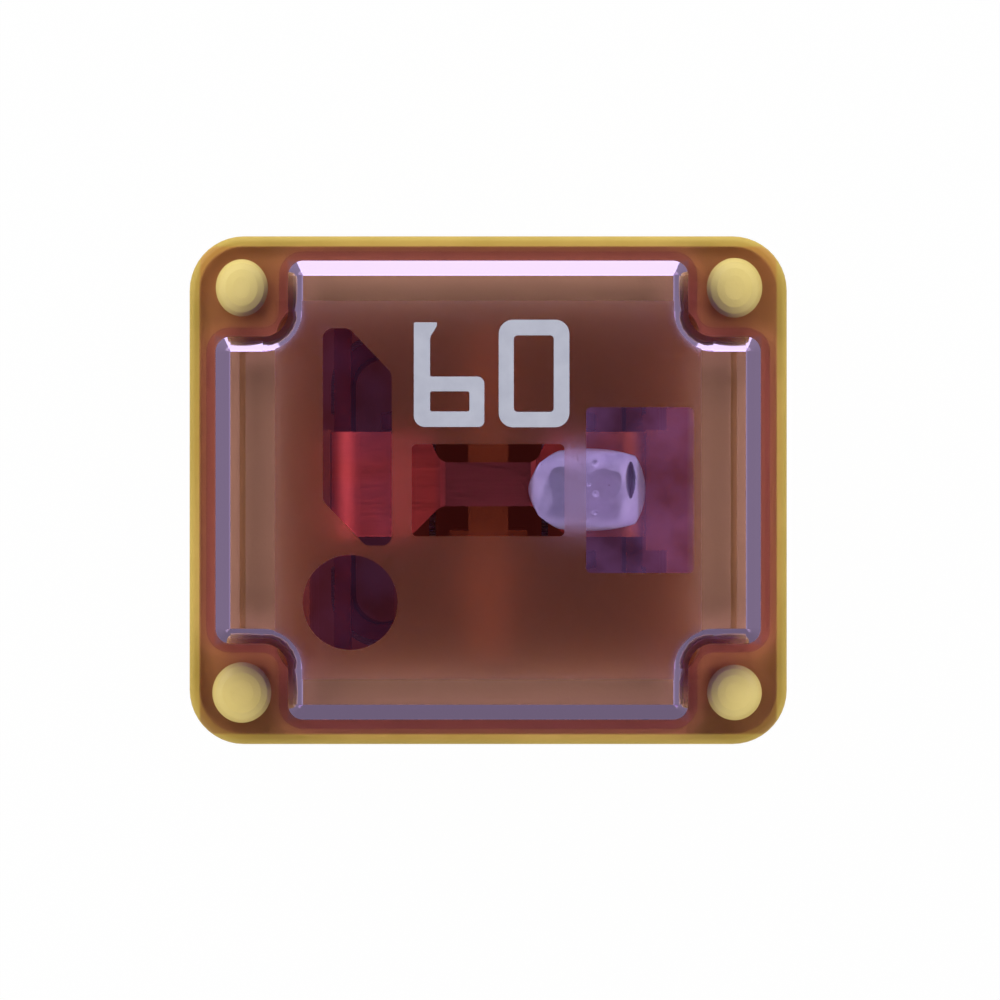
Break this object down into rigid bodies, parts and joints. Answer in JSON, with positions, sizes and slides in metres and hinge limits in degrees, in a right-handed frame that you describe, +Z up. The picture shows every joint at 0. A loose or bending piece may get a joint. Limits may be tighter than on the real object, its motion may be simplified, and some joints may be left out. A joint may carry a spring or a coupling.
{
  "type": "low profile cartridge fuse",
  "caption": "Squat plug-in fuse: moulded housing with corner rails, tinted clear lid riveted on, and a copper link between female blade terminals.",
  "frame": {"origin": "centre of the foot face that the fuse stands on, at z = 0", "axes": "+Z up through the clear cover, away from the mating blades; X from terminal to terminal; Y along the blades' width"},
  "size_m": [0.0142, 0.0122, 0.017],
  "materials": {
    "housing_plastic": "satin moulded yellow nylon",
    "cover_plastic": "clear violet-tinted, polished windows in a finely textured top",
    "copper_alloy": "stamped and bent copper alloy sheet",
    "tin": "melted bright tin",
    "spring_steel": "rolled stainless strip"
  },
  "bodies": {
    "root": {"housing": "housing_plastic", "window_cover": "cover_plastic", "fuse_element": "copper_alloy", "tin_pad": "tin", "contact_spring_left": "spring_steel", "contact_spring_right": "spring_steel"}
  },
  "joints": []
}
